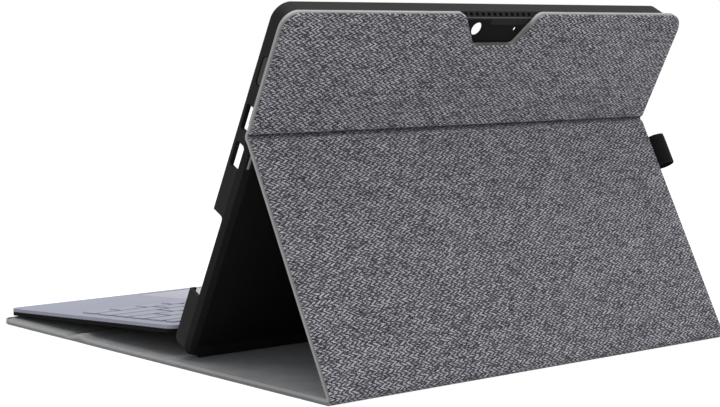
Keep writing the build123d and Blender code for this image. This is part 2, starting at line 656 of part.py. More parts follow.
def make_keyboard():
    rear = -HINGE_REACH
    front = -FRONT_REACH
    half = KEYBOARD_W / 2
    r = KEYBOARD_CORNER_R
    outline = rect(-half, half, front, rear, r, r)
    inner = rect(
        -half + TUB_WALL, half - TUB_WALL, front + TUB_WALL, rear - TUB_WALL, r - TUB_WALL, r - TUB_WALL
    )
    split = deck_low + TUB_T
    tub = slab(deck_frame, outline, deck_low, split)
    tub = tub - slab(deck_frame, inner, deck_low + TUB_FLOOR, split)
    tongue = rect(-DOCK_W / 2, DOCK_W / 2, rear, -HINGE_ROD_R - BEND_GAP)
    parts["keyboard_base"] = tub + slab(deck_frame, tongue, deck_low, -deck_low)

    cells = key_cells()
    holes = []
    for row in cells.values():
        for x, y, width, depth in row:
            holes.append(
                Pos(x, y)
                * RectangleRounded(width + 2 * KEY_GAP, depth + 2 * KEY_GAP, KEY_R + KEY_GAP)
            )
    pad_y = front + PAD_FROM_FRONT + PAD_L / 2
    holes.append(Pos(0, pad_y) * RectangleRounded(PAD_W + 2 * PAD_GAP, PAD_L + 2 * PAD_GAP, 3.0))
    parts["keyboard_deck"] = slab(deck_frame, outline - holes, split, deck_top)

    cap_low = deck_top + KEY_PROUD - KEY_T
    place = deck_frame.offset(cap_low).location
    made = {}
    for name, row in cells.items():
        caps = []
        for x, y, width, depth in row:
            size = (round(width, 3), round(depth, 3))
            if size not in made:
                made[size] = key_cap(width, depth)
            caps.append(place * Pos(x, y, 0) * made[size])
        if name == "bottom":
            space = max(range(len(row)), key=lambda i: row[i][2])
            parts["space_bar"] = caps.pop(space)
        parts["key_row_" + name] = group(caps)

    pad_top = deck_top - PAD_SUNK
    pad = Pos(0, pad_y) * RectangleRounded(PAD_W, PAD_L, 3.0 - PAD_GAP)
    parts["touchpad"] = slab(deck_frame, pad, pad_top - PAD_T, pad_top)

    # Steel back plate and switch sheet under the keys, and the circuit board beside the pad
    fit = MAGNET_FIT
    keys_rear = rear - TUB_WALL - fit
    keys_front = cells["bottom"][0][1] - KEY_DEPTH_UNIT / 2
    wide = half - TUB_WALL - fit
    under = deck_low + TUB_FLOOR
    keys_area = rect(-wide, wide, keys_front, keys_rear, 0, r - TUB_WALL)
    parts["keyboard_back_plate"] = slab(deck_frame, keys_area, under, under + PLATE_T)
    parts["switch_sheet"] = slab(deck_frame, keys_area, under + PLATE_T, under + PLATE_T + SHEET_T)
    board = rect(PAD_W / 2 + 3 * TUB_WALL, wide - 3 * TUB_WALL, front + 3 * TUB_WALL, keys_front - TUB_WALL)
    parts["circuit_board"] = slab(deck_frame, board, under, under + BOARD_PCB_T)
    switch = rect(-PAD_W / 2, PAD_W / 2, pad_y - PAD_L / 2, pad_y + PAD_L / 2)
    parts["touchpad_switch_plate"] = slab(deck_frame, switch, under, under + PLATE_T)


make_cover()
make_foot_strips()
make_flap_magnets()
make_pen_loop()
make_upper_panel()
make_tray()
make_buttons()
make_dock()
make_keyboard()

os.makedirs("parts", exist_ok=True)
for node, solid in parts.items():
    export_step(solid, os.path.join("parts", node + ".step"))

print(f"Keyboard hinge turns {LEVEL_RATIO:.5f} per unit of stand fold, up to {UPRIGHT:.1f} degrees")
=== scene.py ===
import json
import math
from collections import namedtuple

import bmesh
import bpy
from mathutils import Matrix, Vector
from mathutils.geometry import tessellate_polygon


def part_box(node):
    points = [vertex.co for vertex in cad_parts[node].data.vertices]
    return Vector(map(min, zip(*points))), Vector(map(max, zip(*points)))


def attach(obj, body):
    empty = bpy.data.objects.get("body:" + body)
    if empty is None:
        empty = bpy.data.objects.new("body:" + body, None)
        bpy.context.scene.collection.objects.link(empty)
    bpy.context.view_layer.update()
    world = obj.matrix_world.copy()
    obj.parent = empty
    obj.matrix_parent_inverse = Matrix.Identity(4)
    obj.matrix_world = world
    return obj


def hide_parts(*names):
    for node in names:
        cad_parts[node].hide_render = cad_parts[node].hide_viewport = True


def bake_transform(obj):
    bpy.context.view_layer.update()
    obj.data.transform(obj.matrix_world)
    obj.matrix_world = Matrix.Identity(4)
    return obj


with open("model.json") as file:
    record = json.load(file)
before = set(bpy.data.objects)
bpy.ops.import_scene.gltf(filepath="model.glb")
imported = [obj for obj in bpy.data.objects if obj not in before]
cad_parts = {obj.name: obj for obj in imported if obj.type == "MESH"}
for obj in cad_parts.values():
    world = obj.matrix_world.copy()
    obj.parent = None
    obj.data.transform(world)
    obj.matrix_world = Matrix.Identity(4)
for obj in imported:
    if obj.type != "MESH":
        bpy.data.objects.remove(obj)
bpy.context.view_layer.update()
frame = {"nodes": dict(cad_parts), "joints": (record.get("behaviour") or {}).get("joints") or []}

bl_info = {
    "name": "Tablet keyboard case",
    "version": (1, 0, 0),
    "blender": (4, 5, 0),
    "location": "3D View > Sidebar > Keyboard case",
    "description": "Cloth, linings, tray, pen loop and keyboard of a folding tablet case",
    "category": "Object",
}

JOINTS = {j["name"]: j for j in frame["joints"]}
NODES = frame["nodes"]

# ---------------------------------------------------------------- places taken from the frame
HINGE = Vector(JOINTS["stand_fold"]["pos_m"])       # rear hinge line
CREASE = Vector(JOINTS["tray_crease"]["pos_m"])     # crease line
SPINE_LINE = Vector(JOINTS["spine_bend"]["pos_m"])
FLAP_LINE = Vector(JOINTS["flap_bend"]["pos_m"])
PANEL_T = HINGE.z                                   # the cover's thickness
STAND_L = (CREASE - HINGE).length
LEAN = math.atan2(CREASE.z - HINGE.z, HINGE.y - CREASE.y)
DECK_HINGE = Vector(JOINTS["keyboard_level"]["pos_m"])
PRESS = Vector(JOINTS["keys_home_press"]["axis"])
COVER_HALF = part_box("stand_fabric")[1].x
FLAP_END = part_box("closure_flap_fabric")[0].y
FRONT_BOARD_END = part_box("front_cover_board")[0].y
FLAP_BOARD_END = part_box("closure_flap_board")[1].y
UPPER_LOW = (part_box("upper_board")[0].z - PANEL_T) / math.sin(LEAN)
MID_FRONT = (FRONT_BOARD_END + SPINE_LINE.y) / 2    # where the flap's cloth meets the next one
LINING_HALF = COVER_HALF - 0.00075

# ---------------------------------------------------------------- sizes shared by pieces, in metres
WALL = 0.0007             # cloth turned in at a panel's edge
SPINE_REACH = 0.0021      # the same at the spine's line
CREASE_REACH = 0.0045     # cloth that turns round the crease, to each side
CLOTH_LAP = 0.006         # how far the stand's cloth runs on over the upper board
SEAM = 0.44               # where the seam runs in a panel's edge, as a share from its inner face
SEAM_W = 0.0004           # width of that seam
DEEPEST = 0.0022          # the depth at which the cloth counts as fully pressed, where its painted crease shade is darkest
# The wave in the lined side where the flap bends: place, reach and height of each part
BEND_WAVE = ((-0.1186, 0.0042, -0.0009), (-0.1060, 0.0048, 0.0018))

# ---------------------------------------------------------------- the camera and the floor
CAMERA_PLACE = (0.66685, 0.78589, 0.1783)
CAMERA_TURNS = (140.523, 5.381, -0.328)     # yaw, pitch and roll in degrees
CAMERA_LENS = 86.35
LIT_POINT = Vector((0, 0.03, 0.08))         # what the lamps are aimed at
FLOOR_DROP = 0.0001
FLOOR_GLOW = 1.3                            # with the share below, just under white
FLOOR_SHARE = 0.72

# A flat place: along runs up or along the panel, inward points to the lined side
Panel = namedtuple("Panel", "origin along inward")


def panel(origin, angle):
    return Panel(
        Vector(origin),
        Vector((0, math.cos(angle), math.sin(angle))),
        Vector((0, -math.sin(angle), math.cos(angle))),
    )


FLOOR = panel((0, 0, PANEL_T), 0)
TRAY = panel((0, 0, PANEL_T), LEAN)
STAND = panel(HINGE, math.pi - LEAN)
DECK = panel(DECK_HINGE, math.asin(PRESS.y))


def at(place, x, v, d):
    """A point of a panel: x across, v along and d inwards."""
    return place.origin + Vector((x, 0, 0)) + place.along * v + place.inward * d


def across(place, point):
    """x, v and d of a point in the panel's own directions."""
    rel = point - place.origin
    return rel.x, rel.dot(place.along), rel.dot(place.inward)


def span(points):
    """The lowest and the highest of each of the points' three numbers."""
    return [[pick(p[i] for p in points) for i in range(3)] for pick in (min, max)]


def extent(place, node):
    """Lowest and highest x, v and d of a CAD node in a panel's directions."""
    return span([across(place, vert.co) for vert in NODES[node].data.vertices])


# ---------------------------------------------------------------- settings
def colour_prop(name, description, default):
    """A colour that a user can change."""
    return bpy.props.FloatVectorProperty(
        name=name, description=description, subtype="COLOR", size=3, min=0, max=1, default=default)


def distance_prop(name, description, low, high, default):
    """A length that a user can change."""
    return bpy.props.FloatProperty(
        name=name, description=description, subtype="DISTANCE", min=low, max=high, default=default)


class CaseClothSettings(bpy.types.PropertyGroup):
    dark_yarn: colour_prop("Dark yarn", "Darkest yarn of the outer cloth", (0.010, 0.010, 0.015))
    light_yarn: colour_prop("Light yarn", "Lightest yarn of the outer cloth", (0.655, 0.65, 0.72))
    yarn: distance_prop("Upright yarn", "Width of one upright yarn", 0.0002, 0.005, 0.00088)
    weft: distance_prop("Level yarn", "Height of one level yarn", 0.0002, 0.005, 0.00042)
    band: bpy.props.IntProperty(
        name="Herringbone band",
        description="Level yarns from one turn of the herringbone to the next",
        min=2, max=40, default=4)
    cloth_t: distance_prop("Cloth thickness", "Thickness of the outer cloth", 0.0002, 0.003, 0.0009)
    edge_r: distance_prop(
        "Edge radius", "Rounding of the panels' pressed edges", 0.0002, 0.0015, 0.0009)
    groove: distance_prop(
        "Crease depth", "Depth of the groove pressed along the crease", 0.0, 0.0025, 0.0022)
    trim: colour_prop(
        "Edge colour", "Colour of the sealed edge round the cloth", (0.38, 0.38, 0.375))
    lining: colour_prop("Lining", "Colour of the soft lining", (0.24, 0.255, 0.27))


class CaseTraySettings(bpy.types.PropertyGroup):
    plastic: colour_prop("Tray plastic", "Colour of the moulded tray", (0.016, 0.016, 0.017))
    rubber: colour_prop("Button rubber", "Colour of the button covers", (0.014, 0.014, 0.015))
    backing: colour_prop(
        "Backing sheet", "Colour of the sheet between tray and panel", (0.012, 0.012, 0.013))
    elastic: colour_prop("Elastic", "Colour of the pen loop", (0.006, 0.006, 0.007))
    rib_pitch: distance_prop(
        "Elastic rib pitch", "Distance between the ribs of the elastic", 0.0004, 0.004, 0.0011)


class CaseKeyboardSettings(bpy.types.PropertyGroup):
    deck: colour_prop("Deck", "Colour of the keyboard's deck", (0.30, 0.31, 0.39))
    keys: colour_prop("Keys", "Colour of the key caps", (0.275, 0.285, 0.36))
    # Near black: the underside's own dark colour, darkened further as painted shade under the
    # keyboard
    base: colour_prop("Base", "Colour of the keyboard's underside", (0.005, 0.005, 0.006))
    dish: distance_prop("Key dish", "Hollow in the middle of each key cap", 0.0, 0.001, 0.00022)


class CaseStageSettings(bpy.types.PropertyGroup):
    floor: colour_prop("Floor", "Colour of the floor", (0.8, 0.8, 0.8))
    key_power: bpy.props.FloatProperty(
        name="Key light", description="Power of the large soft light",
        subtype="POWER", min=0, max=500, default=15.0)
    fill_power: bpy.props.FloatProperty(
        name="Front light", description="Power of the light before the standing panel",
        subtype="POWER", min=0, max=500, default=9.0)
    world_level: bpy.props.FloatProperty(
        name="Surroundings", description="Brightness of the surroundings as a light",
        min=0, max=2, default=0.42)


# ---------------------------------------------------------------- materials
class Shader:
    """A node material in the making."""

    def __init__(self, name):
        self.material = bpy.data.materials.new("case_" + name)
        self.material.use_nodes = True
        self.nodes = self.material.node_tree.nodes
        self.links = self.material.node_tree.links
        self.bsdf = self.nodes["Principled BSDF"]

    def node(self, kind, **values):
        made = self.nodes.new("ShaderNode" + kind)
        for key, value in values.items():
            setattr(made, key, value)
        return made

    def feed(self, socket, value):
        if isinstance(value, bpy.types.NodeSocket):
            self.links.new(value, socket)
        elif value is not None:
            socket.default_value = value

    def math(self, operation, a, b=None, c=None):
        made = self.node("Math", operation=operation)
        for socket, value in zip(made.inputs, (a, b, c)):
            self.feed(socket, value)
        return made.outputs[0]

    def place(self, uv=False):
        made = self.node("TexCoord")
        return made.outputs["UV" if uv else "Object"]

    def noise(self, where, size, detail=2.0, roughness=0.5):
        made = self.node("TexNoise")
        self.feed(made.inputs["Vector"], where)
        made.inputs["Scale"].default_value = 1 / size
        made.inputs["Detail"].default_value = detail
        made.inputs["Roughness"].default_value = roughness
        return made.outputs["Fac"]

    def ramp(self, factor, stops):
        made = self.node("ValToRGB")
        points = made.color_ramp.elements
        while len(points) < len(stops):
            points.new(0.5)
        for point, (where, colour) in zip(points, stops):
            point.position = where
            point.color = (*colour, 1)
        self.feed(made.inputs["Fac"], factor)
        return made.outputs["Color"]

    def bump(self, height, strength, distance):
        made = self.node("Bump")
        made.inputs["Strength"].default_value = strength
        made.inputs["Distance"].default_value = distance
        self.feed(made.inputs["Height"], height)
        return made.outputs["Normal"]

    def finish(self, **values):
        for key, value in values.items():
            self.feed(self.bsdf.inputs[key.replace("_", " ")], value)
        return self.material


def shade(colour, by):
    return tuple(min(1.0, c * by) for c in colour)


def herringbone_cloth(settings):
    """Two-tone herringbone twill on the cloth's own UV map in metres: each level yarn runs over two
    upright yarns and under two, one further along in every row, and turns back at each band."""
    s = Shader("herringbone_cloth")
    place = s.place(uv=True)
    split = s.node("SeparateXYZ")
    s.feed(split.inputs[0], place)
    u, v = split.outputs[0], split.outputs[1]

    def swayed(value, size, reach):
        sway = s.math("SUBTRACT", s.noise(place, size, 1.0), 0.5)
        return s.math("MULTIPLY_ADD", sway, reach, value)

    def fleck(a, b):
        cell = s.node("CombineXYZ")
        s.feed(cell.inputs[0], s.math("FLOOR", a))
        s.feed(cell.inputs[1], s.math("FLOOR", b))
        chance = s.node("TexWhiteNoise", noise_dimensions="2D")
        s.feed(chance.inputs["Vector"], cell.outputs[0])
        return chance.outputs["Value"]

    def round_yarn(value):
        return s.math("SINE", s.math("MULTIPLY", s.math("FRACT", value), math.pi))

    upright = s.math("DIVIDE", swayed(u, 0.007, 0.0028), settings.yarn)
    level = s.math("DIVIDE", swayed(v, 0.013, 0.0024), settings.weft)
    turn = s.math("PINGPONG", s.math("FLOOR", level), float(settings.band))
    lap = s.math("FRACT", s.math("MULTIPLY", s.math("ADD", s.math("FLOOR", upright), turn), 0.25))
    over = s.math("LESS_THAN", lap, 0.5)
    under = s.math("SUBTRACT", 1.0, over)
    height = s.math("ADD", s.math("MULTIPLY", over, round_yarn(level)),
                    s.math("MULTIPLY", under, round_yarn(upright)))
    long_u, long_v = s.math("MULTIPLY", upright, 0.3), s.math("MULTIPLY", level, 0.2)
    pale = s.math("MULTIPLY_ADD", fleck(long_u, level), 0.82, 0.27)
    deep = s.math("MULTIPLY", fleck(upright, long_v), 0.30)
    tone = s.math("ADD", s.math("MULTIPLY", over, pale), s.math("MULTIPLY", under, deep))
    tone = s.math("MULTIPLY", tone, s.math("MULTIPLY_ADD", height, 0.4, 0.6))
    cloud = s.math("MULTIPLY_ADD", s.noise(place, 0.012, 2.0, 0.6), 0.5, 0.75)
    # Painted shade along the crease: the cloth is darkened where the 'pressed' attribute is high
    pressed = s.node("Attribute", attribute_type="GEOMETRY", attribute_name="pressed")
    crease_shade = s.math("SUBTRACT", 1.0, s.math(
        "MULTIPLY", s.math("POWER", pressed.outputs["Fac"], 3.0), 0.75))
    tone = s.math("MULTIPLY", tone, s.math("MULTIPLY", cloud, crease_shade))
    light, dark = tuple(settings.light_yarn), tuple(settings.dark_yarn)
    colour = s.ramp(tone, [
        (0.02, dark), (0.3, shade(light, 0.14)), (0.6, shade(light, 0.55)), (0.9, light)])
    fine = s.noise(place, 0.0003, 2.0)
    return s.finish(
        Base_Color=colour, Roughness=0.88,
        Normal=s.bump(s.math("MULTIPLY_ADD", fine, 0.2, height), 0.5, 0.0002),
        Sheen_Weight=0.1, Sheen_Roughness=0.5, Specular_IOR_Level=0.25)


def grained(name, colour, roughness, grain, depth, tone, **extra):
    """A surface with a fine grain and a faint cloudiness of tone, on Object coordinates."""
    s = Shader(name)
    where = s.place()
    cloud = s.noise(where, grain * 60, 3.0)
    fine = s.noise(where, grain, 2.0, 0.6)
    mix = s.math("MULTIPLY_ADD", fine, 0.35, s.math("MULTIPLY", cloud, 0.65))
    base = s.ramp(mix, [(0.25, shade(colour, 1 - tone)), (0.75, shade(colour, 1 + tone))])
    rough = s.math("MULTIPLY_ADD", fine, 0.16, roughness - 0.08)
    return s.finish(Base_Color=base, Roughness=rough, Normal=s.bump(fine, 0.5, depth), **extra)


def suede(name, colour):
    """Soft napped lining on the cloth's own UV map: short fibres lying in drifts."""
    s = Shader(name)
    where = s.place(uv=True)
    fibre = s.noise(where, 0.00045, 4.0, 0.7)
    drift = s.noise(where, 0.014, 3.0, 0.55)
    mix = s.math("MULTIPLY_ADD", fibre, 0.4, s.math("MULTIPLY", drift, 0.6))
    base = s.ramp(mix, [(0.3, shade(colour, 0.78)), (0.55, colour), (0.8, shade(colour, 1.35))])
    return s.finish(
        Base_Color=base, Roughness=0.92, Normal=s.bump(fibre, 0.4, 0.0002),
        Sheen_Weight=0.25, Sheen_Roughness=0.6, Specular_IOR_Level=0.2)


def metal(name, colour, roughness, brushed=0.0006):
    s = Shader(name)
    stretch = s.node("Mapping")
    s.feed(stretch.inputs["Vector"], s.place())
    stretch.inputs["Scale"].default_value = (0.05, 1, 1)
    lines = s.noise(stretch.outputs[0], brushed, 3.0, 0.6)
    base = s.ramp(lines, [(0.2, shade(colour, 0.85)), (0.8, shade(colour, 1.1))])
    rough = s.math("MULTIPLY_ADD", lines, 0.2, roughness - 0.1)
    return s.finish(
        Base_Color=base, Roughness=rough, Metallic=1.0, Normal=s.bump(lines, 0.2, 0.00005))


def knitted_elastic(name, colour):
    s = Shader(name)
    wave = s.node("TexWave", wave_type="BANDS", bands_direction="Y")
    s.feed(wave.inputs["Vector"], s.place(uv=True))
    wave.inputs["Scale"].default_value = 420
    wave.inputs["Distortion"].default_value = 1.2
    fine = s.noise(s.place(uv=True), 0.0004, 2.0)
    base = s.ramp(s.math("MULTIPLY", wave.outputs["Fac"], fine), [
        (0.05, shade(colour, 0.6)), (0.6, shade(colour, 2.4))])
    return s.finish(
        Base_Color=base, Roughness=0.85, Normal=s.bump(wave.outputs["Fac"], 0.5, 0.0002),
        Sheen_Weight=0.02, Specular_IOR_Level=0.15)


def circuit(name):
    s = Shader(name)
    cells = s.node("TexVoronoi", feature="DISTANCE_TO_EDGE", distance="MANHATTAN")
    s.feed(cells.inputs["Vector"], s.place())
    cells.inputs["Scale"].default_value = 240
    base = s.ramp(cells.outputs["Distance"], [
        (0.04, (0.12, 0.2, 0.06)), (0.09, (0.006, 0.05, 0.02))])
    return s.finish(Base_Color=base, Roughness=0.35)


# ---------------------------------------------------------------- mesh helpers
def mesh_object(name, bm, materials, sharp=35):
    bmesh.ops.recalc_face_normals(bm, faces=bm.faces)
    data = bpy.data.meshes.new(name)
    bm.to_mesh(data)
    bm.free()
    for material in materials:
        data.materials.append(material)
    data.shade_smooth()
    data.set_sharp_from_angle(angle=math.radians(sharp))
    made = bpy.data.objects.new(name, data)
    bpy.context.scene.collection.objects.link(made)
    return made


def skin(name, rings, maps, slots, materials, sharp=35):
    """A closed surface through rings of points.

    maps holds each point's UV, and slots the material of each strip between two points."""
    bm = bmesh.new()
    layer = bm.loops.layers.uv.new("UVMap")
    places = {}
    rows = []
    for ring, uvs in zip(rings, maps):
        row = [bm.verts.new(point) for point in ring]
        places.update(zip(row, uvs))
        rows.append(row)
    count = len(rows[0])
    for low, high in zip(rows, rows[1:]):
        for j in range(count):
            k = (j + 1) % count
            face = bm.faces.new((low[j], low[k], high[k], high[j]))
            face.material_index = slots[j] if slots else 0
    for row in (rows[0], rows[-1]):
        for corners in tessellate_polygon([[vert.co for vert in row]]):
            bm.faces.new([row[i] for i in corners])
    for face in bm.faces:
        for loop in face.loops:
            loop[layer].uv = places[loop.vert]
    return mesh_object(name, bm, materials, sharp)


def arc(cx, cy, r, start, end, count):
    """Points of an arc from one angle to another, in degrees."""
    turns = [math.radians(start + (end - start) * i / count) for i in range(count + 1)]
    return [(cx + r * math.cos(t), cy + r * math.sin(t)) for t in turns]


def normals(line):
    """Unit normals of an open line of points, to the right of its run."""
    found = []
    for (ax, ay), (bx, by) in zip(line[:1] + line[:-1], line[1:] + line[-1:]):
        e = Vector((bx - ax, by - ay)).normalized()
        found.append(Vector((e.y, -e.x)))
    return found


def smooth(t):
    """Eases from 0 to 1."""
    t = max(0.0, min(1.0, t))
    return t * t * (3 - 2 * t)


# A station is one cross-section of a strip: a base point, the inward direction, the length
# run so far, how far the outer face is pressed in and how far the inner edge is lifted
Station = namedtuple("Station", "base inward run press lift", defaults=(0.0, 0.0))


def flat_stations(place, values, run, press=None, lift=None):
    """Stations of a flat panel at each v; run is added to v for the pattern."""
    return [
        Station(at(place, 0, v, 0), place.inward, run + v,
                press(v) if press else 0.0, lift(v) if lift else 0.0)
        for v in values
    ]


def steps(start, end, size):
    count = max(1, round(abs(end - start) / size))
    return [start + (end - start) * i / count for i in range(count + 1)]


def runs(start, *parts):
    """Values from start on, through each part's end at its own step."""
    values = [start]
    for end, size in parts:
        values += steps(start, end, size)[1:]
        start = end
    return values


def cloth_strip(name, stations, settings, materials, lip=-0.0002):
    """Outer cloth wrapped round a panel's long edges: a shallow channel along the stations."""
    half, t, r = COVER_HALF, settings.cloth_t, settings.edge_r
    wide = [-half + r, *steps(-half + r + 0.0025, half - r - 0.0025, 0.006), half - r]
    rings, maps = [], []
    for station in stations:
        out, rim = -PANEL_T + station.press, -PANEL_T + 0.25 * station.press
        top = lip + station.lift
        low = out + (t if station.press < 0.0001 else 0.6 * t)
        seam = top + (rim - top) * SEAM
        edge = [top, seam, seam - SEAM_W]
        section = [(-half, d) for d in edge] + arc(-half + r, rim + r, r, 180, 270, 4)
        section += [(x, out) for x in wide[1:-1]]
        section += arc(half - r, rim + r, r, 270, 360, 4) + [(half, d) for d in reversed(edge)]
        section += [(half - WALL, top), (half - WALL, low)]
        section += [(x, low) for x in reversed(wide[2:-2])]
        section += [(-half + WALL, low), (-half + WALL, top)]
        rings.append([station.base + Vector((x, 0, 0)) + station.inward * d for x, d in section])
        maps.append([(x, station.run) for x, _ in section])
    count = len(section)
    right = len(wide) + 9                # the first face of the right edge's lower half
    # Slot 1 is the sealed edge, slot 2 the dark seam and the turned-in cloth, slot 3 the edge
    # painted darker towards the outer face, as painted shade
    slots = [1, 2, 3, 3] + [0] * (right - 4) + [3, 3, 2, 1, 1]
    slots += [2] * (count - 1 - len(slots)) + [1]
    made = skin(name, rings, maps, slots, materials)
    # The share of the full press at each ring; the cloth's material paints the crease darker from
    # it, as painted shade
    pressed = made.data.attributes.new("pressed", "FLOAT", "POINT")
    pressed.data.foreach_set("value", [
        station.press / DEEPEST for station in stations for _ in range(count)])
    return made


def lining_strip(name, stations, material, t=0.0007, r=0.0004):
    """Lining laid over a panel; a station's press lifts it."""
    half = LINING_HALF
    wide = steps(-half + r, half - r, 0.006)
    rings, maps = [], []
    for station in stations:
        top = station.press
        section = [(-half, top - t)] + arc(-half + r, top - r, r, 180, 90, 3)
        section += [(x, top) for x in wide[1:-1]]
        section += arc(half - r, top - r, r, 90, 0, 3) + [(half, top - t)]
        rings.append([station.base + Vector((x, 0, 0)) + station.inward * d for x, d in section])
        maps.append([(x, station.run) for x, _ in section])
    return skin(name, rings, maps, None, [material])


def inset_ring(outline, inset, fixed=()):
    """The outline moved inwards; fixed points keep their v."""
    count = len(outline)
    moved = []
    for i, (x, v) in enumerate(outline):
        ax, av = outline[i - 1]
        bx, bv = outline[(i + 1) % count]
        e1 = Vector((x - ax, v - av)).normalized()
        e2 = Vector((bx - x, bv - v)).normalized()
        n1, n2 = Vector((-e1.y, e1.x)), Vector((-e2.y, e2.x))
        n = (n1 + n2).normalized()
        scale = inset / max(0.35, n.dot(n1))
        if i in fixed:
            moved.append((x + math.copysign(inset, -x), v))
        else:
            moved.append((x + n.x * scale, v + n.y * scale))
    return moved


def rounded_rectangle(cx, cy, width, depth, r, count=4):
    """Anticlockwise outline of a rectangle with round corners."""
    r = min(r, width / 2 - 1e-5, depth / 2 - 1e-5)
    x, y = width / 2 - r, depth / 2 - r
    points = []
    for sx, sy, start in ((1, -1, 270), (1, 1, 0), (-1, 1, 90), (-1, -1, 180)):
        points += arc(cx + sx * x, cy + sy * y, r, start, start + 90, count)
    return points


def drawn_in(cx, cy, width, depth, r, rows, count=4):
    """Rounded rectangles at several depths, each drawn in by its own inset."""
    return [
        (rounded_rectangle(cx, cy, width - 2 * inset, depth - 2 * inset, r, count), d)
        for inset, d in rows
    ]


def stacked(name, place, levels, materials, slots=None, sharp=35):
    """A closed solid from outlines, each at its own depth."""
    rings = [[at(place, x, v, d) for x, v in outline] for outline, d in levels]
    maps = [[(x, v) for x, v in outline] for outline, _ in levels]
    made = skin(name, rings, maps, None, materials, sharp)
    if slots:
        count = len(levels[0][0])
        for i, face in enumerate(made.data.polygons):
            band = i // count
            if band < len(levels) - 1:
                face.material_index = slots[band]
    return made


def islands(node):
    """The separate solids of a CAD node on the deck: x, v, width, depth, low and high."""
    bm = bmesh.new()
    bm.from_mesh(NODES[node].data)
    bmesh.ops.remove_doubles(bm, verts=bm.verts, dist=1e-6)
    found, seen = [], set()
    for start in bm.verts:
        if start in seen:
            continue
        stack, members = [start], []
        seen.add(start)
        while stack:
            vert = stack.pop()
            members.append(across(DECK, vert.co))
            for edge in vert.link_edges:
                other = edge.other_vert(vert)
                if other not in seen:
                    seen.add(other)
                    stack.append(other)
        lows, highs = span(members)
        found.append((
            (lows[0] + highs[0]) / 2, (lows[1] + highs[1]) / 2,
            highs[0] - lows[0], highs[1] - lows[1], lows[2], highs[2]))
    bm.free()
    return sorted(found)


def row_tree():
    """Geometry nodes: repeats a shape in a straight row."""
    tree = bpy.data.node_groups.new("repeat_in_a_row", "GeometryNodeTree")
    face = tree.interface
    face.new_socket("Geometry", in_out="INPUT", socket_type="NodeSocketGeometry")
    for name, kind, value in (
        ("Count", "NodeSocketInt", 5),
        ("Step", "NodeSocketVector", (0.01, 0, 0)),
        ("Material", "NodeSocketMaterial", None),
    ):
        socket = face.new_socket(name, in_out="INPUT", socket_type=kind)
        if value is not None:
            socket.default_value = value
    face.new_socket("Geometry", in_out="OUTPUT", socket_type="NodeSocketGeometry")
    nodes, links = tree.nodes, tree.links
    source, out = nodes.new("NodeGroupInput"), nodes.new("NodeGroupOutput")
    line = nodes.new("GeometryNodeMeshLine")
    line.mode = "OFFSET"
    copies = nodes.new("GeometryNodeInstanceOnPoints")
    real = nodes.new("GeometryNodeRealizeInstances")
    paint = nodes.new("GeometryNodeSetMaterial")
    links.new(source.outputs["Count"], line.inputs["Count"])
    links.new(source.outputs["Step"], line.inputs["Offset"])
    links.new(line.outputs["Mesh"], copies.inputs["Points"])
    links.new(source.outputs["Geometry"], copies.inputs["Instance"])
    links.new(copies.outputs[0], real.inputs[0])
    links.new(real.outputs[0], paint.inputs["Geometry"])
    links.new(source.outputs["Material"], paint.inputs["Material"])
    links.new(paint.outputs[0], out.inputs[0])
    return tree


def in_a_row(made, count, step, material):
    """The object's mesh repeated along a step, as one plain mesh."""
    tree = bpy.data.node_groups.get("repeat_in_a_row") or row_tree()
    modifier = made.modifiers.new("repeat", "NODES")
    modifier.node_group = tree
    values = {"Count": count, "Step": step, "Material": material}
    for item in tree.interface.items_tree:
        if item.in_out == "INPUT" and item.name in values:
            modifier[item.identifier] = values[item.name]
    graph = bpy.context.evaluated_depsgraph_get()
    plain = bpy.data.meshes.new_from_object(made.evaluated_get(graph))
    made.modifiers.remove(modifier)
    made.data = plain
    return made


def joined(name, objects):
    """Several meshes as one piece."""
    bm = bmesh.new()
    for each in objects:
        bm.from_mesh(each.data)
    materials = list(objects[0].data.materials)
    for each in objects:
        data = each.data
        bpy.data.objects.remove(each)
        bpy.data.meshes.remove(data)
    return mesh_object(name, bm, materials)


def finish(name):
    """A material made by the first operator."""
    return bpy.data.materials["case_" + name]


def paint(name, *nodes):
    """Gives CAD nodes a finish."""
    for node in nodes:
        slots = NODES[node].data.materials
        slots.clear()
        slots.append(finish(name))


